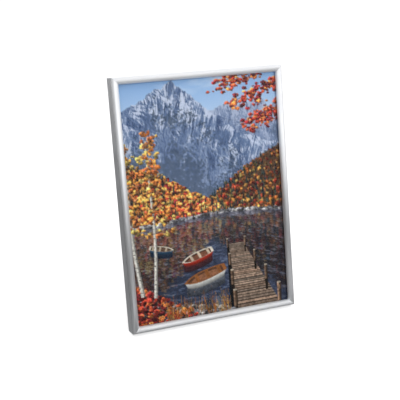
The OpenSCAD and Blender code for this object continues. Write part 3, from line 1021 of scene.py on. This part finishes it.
def paintPicture():
    p = painting
    rows, columns = p["rows"] * p["finer"], p["columns"] * p["finer"]
    y, x = np.mgrid[0:rows, 0:columns] / columns
    leaf = layeredNoise(x * p["leafScale"], y * p["leafScale"], 3, 3, 0.7)
    canvas = {"x": x, "y": y, "unit": columns, "shown": np.zeros((rows, columns, 3)), "leaf": leaf}
    skyRows = int(p["skyShare"] * rows)
    upper = {key: value if key == "unit" else value[:skyRows] for key, value in canvas.items()}
    paintSky(upper)
    for ridge in ridges:
        paintRidge(upper, **ridge)
    for hill in hills:
        paintHill(canvas, **hill)
    paintShore(canvas)
    paintWater(canvas)
    paintJetty(canvas)
    for boat in boats:
        paintBoat(canvas, **boat)
    paintForeground(canvas)
    for birch in birches:
        paintBirch(canvas, **birch)
    paintMaple(canvas)
    shown = canvas["shown"].reshape(p["rows"], p["finer"], p["columns"], p["finer"], 3).mean(axis=(1, 3))
    return np.clip(shown, 0, 1)


def makePrint():
    columns, rows = painting["columns"], painting["rows"]
    points = np.empty((rows, columns, 3))
    points[..., 0] = np.linspace(printLow.x, printHigh.x, columns)[None, :]
    points[..., 1] = printLow.y
    points[..., 2] = np.linspace(printHigh.z, printLow.z, rows)[:, None]
    points = points.reshape(-1, 3)
    index = np.arange(rows * columns).reshape(rows, columns)
    quads = np.stack([index[:-1, :-1], index[1:, :-1], index[1:, 1:], index[:-1, 1:]], -1).reshape(-1, 4)
    rim = np.concatenate([index[0, :-1], index[:-1, -1], index[-1, :0:-1], index[:0:-1, 0]])
    behind = points[rim].copy()
    behind[:, 1] = printHigh.y
    low = rows * columns + np.arange(len(rim))
    sides = np.stack([rim, np.roll(rim, -1), np.roll(low, -1), low], -1)
    faces = quads.tolist() + sides.tolist() + [low.tolist()]
    mesh = bpy.data.meshes.new("photo_sheet")
    mesh.from_pydata(np.vstack([points, behind]).tolist(), [], faces)
    shown = np.vstack([paintPicture().reshape(-1, 3), np.full((len(rim), 3), painting["paperWhite"])])
    shown = np.where(shown <= 0.04045, shown / 12.92, ((shown + 0.055) / 1.055) ** 2.4)
    layer = mesh.color_attributes.new("picture", "FLOAT_COLOR", "POINT")
    layer.data.foreach_set("color", np.hstack([shown, np.ones((len(shown), 1))]).astype(np.float32).ravel())
    mesh.transform(standing)
    mesh.materials.append(printedPaper())
    mesh.validate()
    settle(linked("photo_sheet", mesh), "frame", "photo_paper", "photo_print")


makePrint()
print("print made:", painting["columns"], "by", painting["rows"], "points")

# Back panel. The rivets, hinge and hangers are set out here too, because the panel has their holes

riveting = {"shank": 1.25, "headRadius": 2.6, "headHeight": 0.7, "rim": 0.18, "dimpleRadius": 0.8,
            "dimpleDepth": 0.14, "tailRadius": 2.2, "tailHeight": 0.6, "tailSunk": 0.1, "tailRim": 0.15,
            "domeSteps": 12, "rimSteps": 3, "holeRadius": 2.3, "play": 0.05}
clipNames = ["left_upper_clip", "left_lower_clip", "right_upper_clip", "right_lower_clip", "top_left_clip",
             "top_right_clip", "bottom_left_clip", "bottom_right_clip"]
clipPivots = {name: uprightPlace(joints[name + "_turn"]["pos_m"]) for name in clipNames}
panelBoard = {"edge": 0.3, "corner": 0.8}
hinge = {"leafWidth": 30.0, "leafLength": 20.0, "leafThickness": 0.74, "leafSeat": 0.8, "cornerRound": 2.5,
         "pinRadius": 0.9, "pinHeadRadius": 1.5, "pinHeadHeight": 0.5, "pinRim": 0.15, "knuckle": 1.7,
         "knuckleGap": 0.3, "middleWidth": 12.0, "rivetX": 10.0, "rivetZ": 12.0, "edge": 0.12,
         "panelShoulder": 2.0, "strutShoulder": 2.6, "panelBend": 1.2, "strutBend": 0.8}
hanger = {"width": 16.0, "thickness": 1.0, "eye": 3.5, "raise": 2.4, "foot": 9.0, "footRound": 1.5,
          "ramp": 2.5, "rivetX": 4.48, "bend": 1.2, "edge": 0.15}
hangerRaised = hanger["width"] / 2
hangerRivetZ = -(hangerRaised + hanger["ramp"] + hanger["foot"] / 2)
mounts = {mount["name"]: mount for mount in frame["record"]["mounts"]}
hangerPlaces = {}
for turns, name in enumerate(("portrait_hanger", "landscape_hanger")):
    eye = uprightPlace(mounts[name + "_eye"]["pos_m"])
    hangerPlaces[name] = turnedAt(eye.x, eye.z, turns)
hangerRivets = [place @ Vector((side * hanger["rivetX"], 0, hangerRivetZ))
                for place in hangerPlaces.values() for side in (-1, 1)]
leafRivets = [Vector((side * hinge["rivetX"], 0, pin.z + hinge["rivetZ"])) for side in (-1, 1)]
panelHoles = list(clipPivots.values()) + leafRivets + hangerRivets
panel = boardPiece("panel_board", panelLow, panelHigh, panelBoard["edge"], hardboard, panelHoles,
                   riveting["holeRadius"], panelBoard["corner"])
settle(panel, "frame", "hardboard", "back_panel")
print("panel made:", len(panelHoles), "holes")


# A rivet along z: its head's seat at 0, its tail's front face at a depth below
def makeRivet(depth):
    r = riveting
    dome = (r["headRadius"] ** 2 + r["headHeight"] ** 2) / (2 * r["headHeight"])
    flatRadius = r["headRadius"] - r["rim"]
    profile = []
    for step in range(r["domeSteps"] + 1):
        radius = flatRadius * step / r["domeSteps"]
        height = r["headHeight"] - dome + math.sqrt(dome ** 2 - radius ** 2)
        dip = max(0.0, 1 - (radius / r["dimpleRadius"]) ** 2) ** 2 * r["dimpleDepth"]
        profile.append((radius, height - dip))
    edgeHeight = profile[-1][1]
    for step in range(1, r["rimSteps"] + 1):
        turn = math.pi / 2 * step / r["rimSteps"]
        profile.append((r["headRadius"] - r["rim"] * (1 - math.sin(turn)), edgeHeight * math.cos(turn)))
    tailTop = r["tailHeight"] - depth
    profile += [(r["shank"], 0), (r["shank"], tailTop), (r["tailRadius"], tailTop),
                (r["tailRadius"], r["tailRim"] - depth), (r["tailRadius"] - r["tailRim"], -depth),
                (0, -depth)]
    return makeLathe(profile)


# Rivets through a board, their heads on a seat at one depth and their tails just inside the board's front
def rivetPiece(name, node, body, placing, places, front, seat):
    rivets = []
    for place in places:
        turn = Matrix.Translation((place.x, seat, place.z)) @ Matrix.Rotation(-math.pi / 2, 4, "X")
        rivets.append(moved(makeRivet(seat - front - riveting["tailSunk"]), turn))
    settle(makePiece(name, rivets, placing, rivetSteel), body, "rivet_steel", node)


def shankHole(x, y):
    return circleLoop(x, y, riveting["shank"] + riveting["play"], 24)


clipSheet = {"width": 8.0, "thickness": 0.8, "reach": 13.0, "tail": 8.0, "lug": 2.6, "bend": 0.8,
             "edge": 0.14, "gap": 0.1, "lugRound": 1.6}
clipFront = panelHigh.y + clipSheet["gap"]
clipBack = clipFront + clipSheet["thickness"]
rivetPiece("clip_rivet_set", "clip_rivets", "frame", standing, clipPivots.values(), panelLow.y,
           clipBack + clipSheet["gap"])


# Turn clip: a round-ended strip with its tail bent up as a finger lug
def makeClip():
    c = clipSheet
    middle, tailAt = (clipFront + clipBack) / 2, c["tail"] - c["thickness"] / 2
    path = rounded([(middle, -c["reach"], 0), (middle, tailAt, c["bend"]), (clipBack + c["lug"], tailAt, 0)],
                   closed=False)
    length, half, lug = pathLength(path), c["width"] / 2, c["lugRound"]
    tip = half - outlining["near"]
    outer = rounded([(-half, 0, tip), (half, 0, tip), (half, length, lug), (-half, length, lug)])
    return bendAlong(makePlate(outer, [shankHole(0, c["reach"])], c["thickness"], c["edge"]), path)


clipTurns = {"left": 1, "right": 3, "top": 2, "bottom": 0}
for name, pivot in clipPivots.items():
    placing = standing @ turnedAt(pivot.x, pivot.z, clipTurns[name.split("_")[0]])
    settle(makePiece(name + "_strip", [makeClip()], placing, zinc), name + "_body", "zinc_steel", name)
print("clips made:", len(clipPivots))

# Easel strut

strutBoard = {"thickness": 3.0, "topWidth": 36.0, "footWidth": 70.0, "archWidth": 40.0, "archHeight": 5.0,
              "archSteps": 24, "foldGap": 0.2, "edge": 0.3, "topRound": 2.0, "toeRound": 1.5}
strutFront = strutBoard["foldGap"] - hinge["knuckle"] - hinge["knuckleGap"]
strutBack = strutFront + strutBoard["thickness"]
strutTop = -hinge["knuckle"] - hinge["knuckleGap"]
tilt = openAngle - lean
pinHeight = (standing @ Vector((0, pin.y, pin.z))).z / mm
strutReach = (pinHeight + strutBack * math.sin(tilt)) / math.cos(tilt)


def makeStrut():
    s = strutBoard
    top, foot, arch = s["topWidth"] / 2, s["footWidth"] / 2, s["archWidth"] / 2
    topAt = top + (foot - top) * -strutTop / strutReach
    radius = (arch ** 2 + s["archHeight"] ** 2) / (2 * s["archHeight"])
    sweep = math.asin(arch / radius)
    curve = []
    for step in range(s["archSteps"] + 1):
        angle = sweep * (2 * step / s["archSteps"] - 1)
        height = s["archHeight"] - radius + radius * math.cos(angle)
        curve.append((radius * math.sin(angle), height - strutReach, 0.0))
    outer = rounded([(-topAt, strutTop, s["topRound"]), (-foot, -strutReach, s["toeRound"])] + curve
                    + [(foot, -strutReach, s["toeRound"]), (topAt, strutTop, s["topRound"])])
    holes = [circleLoop(side * hinge["rivetX"], -hinge["rivetZ"], riveting["holeRadius"], 32)
             for side in (-1, 1)]
    bm = makePlate(outer, holes, s["thickness"], s["edge"])
    moved(bm, stoodUp((strutFront + strutBack) / 2))
    for vertex in bm.verts:
        if vertex.co.z < -strutReach / 2:
            vertex.co.z += (strutBack - vertex.co.y) * math.tan(tilt)      # the foot stands flat on the table
    return bm


strut = makePiece("strut_board_cut", [makeStrut()], strutOpen, hardboard)
settle(strut, "easel_strut", "strut_board", "strut")

# Hinge: two pressed leaves rolled round one pin

roll = {"radius": 1.3, "sweep": 318, "steps": 40, "shoulderRound": 0.6, "notchRound": 0.3, "endRound": 0.2}


def arcPath(startAngle, sweepAngle, steps):
    turns = [math.radians(startAngle + sweepAngle * step / steps) for step in range(steps + 1)]
    return [Vector((roll["radius"] * math.cos(turn), roll["radius"] * math.sin(turn))) for turn in turns]


# Paths are (y, z) about the pin
def panelLeafPath():
    flat = hinge["leafSeat"] / 2 - hinge["knuckle"] - hinge["knuckleGap"]
    bend, r = hinge["panelBend"], roll["radius"]
    start = rounded([(flat, hinge["leafLength"], 0), (flat, 3 * bend, bend), (-r, 2 * bend, bend),
                     (-r, 0, 0)], closed=False)
    return start[:-1] + arcPath(180, roll["sweep"], roll["steps"])


def strutLeafPath():
    flat, r = strutBack + hinge["leafSeat"] / 2, roll["radius"]
    start = rounded([(flat, -hinge["leafLength"], 0), (flat, -r, hinge["strutBend"]), (0, -r, 0)],
                    closed=False)
    return start[:-1] + arcPath(270, -roll["sweep"], roll["steps"])


# A leaf on its developed length: the flat at full width, then the knuckles over the given x spans
def makeLeaf(path, shoulder, spans):
    h = hinge
    length, half, r = pathLength(path), h["leafWidth"] / 2, h["cornerRound"]
    corners = [(-half, 0, r), (half, 0, r)]
    if spans[-1][1] < half:
        corners.append((half, shoulder, roll["shoulderRound"]))
    for low, high in reversed(spans):
        corners += [(high, shoulder, roll["notchRound"])] if high < half else []
        corners += [(high, length, roll["endRound"]), (low, length, roll["endRound"])]
        corners += [(low, shoulder, roll["notchRound"])] if low > -half else []
    if spans[0][0] > -half:
        corners.append((-half, shoulder, roll["shoulderRound"]))
    holes = [shankHole(side * h["rivetX"], h["leafLength"] - h["rivetZ"]) for side in (-1, 1)]
    return bendAlong(makePlate(rounded(corners), holes, h["leafThickness"], h["edge"]), path)


middle = hinge["middleWidth"] / 2
side = middle + hinge["knuckleGap"]
leafHalf = hinge["leafWidth"] / 2
atPin = standing @ Matrix.Translation((0, pin.y, pin.z))
leaf = makeLeaf(panelLeafPath(), hinge["leafLength"] - hinge["panelShoulder"],
                [(-leafHalf, -side), (side, leafHalf)])
settle(makePiece("panel_leaf_pressing", [leaf], atPin, hingeSteel), "frame", "hinge_steel", "panel_leaf")

# The strut's leaf has a tongue that stops against the fixed leaf
stop = {"from": 1.25, "to": 8.0, "round": 1.2, "gap": 0.05}


def makeTongue():
    front = hinge["leafSeat"] + stop["gap"] - hinge["knuckle"] - hinge["knuckleGap"]
    start, end, curve = stop["from"], stop["to"], stop["round"]
    outline = rounded([(-middle, start, 0), (middle, start, 0), (middle, end, curve), (-middle, end, curve)])
    bm = makePlate(outline, [], hinge["leafThickness"], hinge["edge"])
    moved(bm, stoodUp(front + hinge["leafSeat"] / 2))
    return moved(bm, Matrix.Rotation(-openAngle, 4, "X"))


leaf = makeLeaf(strutLeafPath(), hinge["leafLength"] - hinge["strutShoulder"], [(-middle, middle)])
leaf = makePiece("strut_leaf_pressing", [leaf, makeTongue()], strutOpen, hingeSteel)
settle(leaf, "easel_strut", "hinge_steel", "strut_leaf")


def makePin():
    half, radius, head, rim = leafHalf, hinge["pinRadius"], hinge["pinHeadRadius"], hinge["pinRim"]
    end = half + hinge["pinHeadHeight"]
    right = [(radius, 0), (radius, half), (head - rim, half), (head, half + rim), (head, end - rim),
             (head - rim, end), (head / 2, end), (0, end)]
    profile = [(radius, -height) for radius, height in reversed(right)] + right[1:]
    return moved(makeLathe(profile, 32), Matrix.Rotation(math.pi / 2, 4, "Y"))


settle(makePiece("hinge_pin_turned", [makePin()], atPin, rivetSteel), "frame", "rivet_steel", "hinge_pin")
rivetPiece("panel_leaf_rivet_pair", "panel_leaf_rivets", "frame", standing, leafRivets, panelLow.y,
           panelHigh.y + hinge["leafSeat"])
strutRivets = [Vector((end * hinge["rivetX"], 0, -hinge["rivetZ"])) for end in (-1, 1)]
rivetPiece("strut_leaf_rivet_pair", "strut_leaf_rivets", "easel_strut", strutOpen, strutRivets, strutFront,
           strutBack + hinge["leafSeat"])
print("strut and hinge made")


# Hangers: a riveted foot, a slope and a raised round end with the eye
def makeHanger():
    g = hanger
    seat = panelHigh.y + g["thickness"] / 2
    top = seat + g["raise"]
    footTop = -hangerRaised - g["ramp"]
    footEnd = footTop - g["foot"]
    path = rounded([(seat, footEnd, 0), (seat, footTop, g["bend"]), (top, -hangerRaised, g["bend"]),
                    (top, hangerRaised, 0)], closed=False)
    length, half, foot = pathLength(path), g["width"] / 2, g["footRound"]
    end = half - outlining["near"]
    outer = rounded([(-half, 0, foot), (half, 0, foot), (half, length, end), (-half, length, end)])
    holes = [circleLoop(0, length - hangerRaised, g["eye"], 48)]
    holes += [shankHole(side * g["rivetX"], hangerRivetZ - footEnd) for side in (-1, 1)]
    return bendAlong(makePlate(outer, holes, g["thickness"], g["edge"]), path)


for name, place in hangerPlaces.items():
    plateEye = makePiece(name + "_pressing", [makeHanger()], standing @ place, hingeSteel)
    settle(plateEye, "frame", "hanger_steel", name)
rivetPiece("hanger_rivet_set", "hanger_rivets", "frame", standing, hangerRivets, panelLow.y,
           panelHigh.y + hanger["thickness"])
print("hangers made:", len(hangerPlaces))

# Stage, light and camera

stage = {"floorSize": 60.0, "floorGrey": 0.8, "lift": 0.55, "worldLight": 0.62}


# 1 for the rays that see the background: from the camera, from gloss and through glass
def seeingRays(tree):
    path = addNode(tree, "LightPath")
    total = math2(tree, "MAXIMUM", path.outputs["Is Camera Ray"], path.outputs["Is Glossy Ray"])
    return math2(tree, "MAXIMUM", total, path.outputs["Is Transmission Ray"])


def sheetMesh(corners):
    bm = bmesh.new()
    bm.faces.new([bm.verts.new(corner) for corner in corners])
    return bm


def squareCorners(size, height):
    return [(x * size / 2, y * size / 2, height) for x, y in fourCorners]


def makeFloor():
    material, tree = newMaterial("paleFloor")[:2]
    grey, lift = stage["floorGrey"], math2(tree, "MULTIPLY", seeingRays(tree), stage["lift"])
    base = outputOf(tree, "BsdfDiffuse", {"Color": (grey, grey, grey, 1)})
    shaded(material, "AddShader", {0: base, 1: outputOf(tree, "Emission", {"Strength": lift})})
    corners = squareCorners(stage["floorSize"], 0)
    makePiece("floor", [sheetMesh(corners)], Matrix.Identity(4), material)


# What gloss sees of the room: dim below the horizon, most of all at the left, and bright from there up. It is
# brightest behind the frame's plane and softest straight above. rise and high are sines of the height angle
room = {"levels": (0.14, 0.32), "rise": (-0.02, 0.17), "front": 1.4, "top": 1.05, "high": (0.45, 1.0),
        "bright": 1.3, "over": (-0.2, 0.2), "back": 0.6, "behind": (0.3, 0.9)}


def makeWorld():
    world = bpy.data.worlds.new("studio")
    bpy.context.scene.world = world
    tree = emptied(world)
    place = addNode(tree, "TexCoord").outputs["Generated"]
    x, y, z = addNode(tree, "SeparateXYZ", {"Vector": place}).outputs
    low = spread(tree, x, *room["levels"], -1, 1)
    low = lerp(tree, softStep(tree, y, *room["behind"]), low, room["back"])
    high = lerp(tree, softStep(tree, z, *room["high"]), room["front"], room["top"])
    high = lerp(tree, softStep(tree, y, *room["over"]), high, room["bright"])
    gloss = lerp(tree, softStep(tree, z, *room["rise"]), low, high)
    plain = lerp(tree, seeingRays(tree), stage["worldLight"], 1.0)
    level = lerp(tree, addNode(tree, "LightPath").outputs["Is Glossy Ray"], plain, gloss)
    light = outputOf(tree, "Background", {"Color": (1, 1, 1, 1), "Strength": level})
    addNode(tree, "OutputWorld", {"Surface": light})


lamps = {
    "overhead": {"place": (0.0, -0.3, 1.3), "aim": (0, 0, 0.15), "size": (1.5, 1.0), "radiance": 1.6},
    "key": {"place": (0.464, -1.1, 0.88), "aim": (0, 0, 0.15), "size": (0.3, 0.3), "radiance": 20.0},
}


def makeLamp(name, place, aim, size, radiance):
    light = bpy.data.lights.new(name, "AREA")
    light.shape = "RECTANGLE"
    light.size, light.size_y = size
    light.energy = radiance * math.pi * size[0] * size[1]
    lamp = linked(name, light)
    lamp.location = place
    lamp.rotation_euler = (Vector(aim) - Vector(place)).to_track_quat("-Z", "Y").to_euler()
    lamp.visible_glossy = False


# What gloss sees of the table: a pale pool before the frame and one behind it, grey elsewhere and darkest at
# the left. Each pair of a pool's sides is where it begins and where it is full
table = {"size": 6.0, "height": 0.0002, "across": (-0.35, 0.1), "levels": (0.08, 0.31)}
pools = [
    {"level": 0.5, "left": (-0.3, -0.1), "right": (0.32, 0.12), "front": (-0.3, -0.12),
     "back": (-0.06, -0.1)},
    {"level": 0.85, "left": (-0.24, -0.02), "right": (1.0, 0.6), "front": (0.06, 0.16),
     "back": (1.4, 0.9)},
]


def tableLevel(tree, x, y, z):
    level = spread(tree, x, *table["levels"], *table["across"])
    for pool in pools:
        share = softStep(tree, x, *pool["left"])
        for value, side in ((x, "right"), (y, "front"), (y, "back")):
            share = math2(tree, "MULTIPLY", share, softStep(tree, value, *pool[side]))
        level = lerp(tree, share, level, pool["level"])
    return level


# What gloss sees before the frame: a screen that is grey at the table and pale at its top
screen = {"sides": (-0.3, 1.1), "y": -0.37, "heights": (0.001, 0.4), "levels": (0.3, 1.5),
          "rise": (-0.02, 0.38)}


def screenLevel(tree, x, y, z):
    return lerp(tree, softStep(tree, z, *screen["rise"]), *screen["levels"])


# A glowing card that only gloss sees
def makeCard(name, corners, levelAt):
    material, tree, place = newMaterial(name)
    level = levelAt(tree, *addNode(tree, "SeparateXYZ", {"Vector": place}).outputs)
    shaded(material, "Emission", {"Color": (1, 1, 1, 1), "Strength": level})
    material.cycles.emission_sampling = "NONE"
    piece = makePiece(name, [sheetMesh(corners)], Matrix.Identity(4), material)
    piece.visible_camera = False
    piece.visible_diffuse = False
    piece.visible_shadow = False
    piece.visible_transmission = False


camera = {"place": (-0.39248, -0.92267, 0.54275), "turn": (68.3784, -0.8655, -22.3143), "lens": 80.328,
          "sensor": 36, "clipStart": 0.01}


def makeCamera():
    made = linked("camera", bpy.data.cameras.new("camera"))
    made.location = camera["place"]
    made.rotation_euler = [math.radians(angle) for angle in camera["turn"]]
    made.data.lens = camera["lens"]
    made.data.sensor_width = camera["sensor"]
    made.data.clip_start = camera["clipStart"]
    bpy.context.scene.camera = made


makeFloor()
makeWorld()
for name, settings in lamps.items():
    makeLamp(name, **settings)
makeCard("tableCard", squareCorners(table["size"], table["height"]), tableLevel)
(left, right), (foot, top) = screen["sides"], screen["heights"]
screenCorners = [(x, screen["y"], z) for x, z in ((right, foot), (left, foot), (left, top), (right, top))]
makeCard("screenCard", screenCorners, screenLevel)
makeCamera()
bpy.context.scene.view_settings.view_transform = "Standard"
print("stage made")
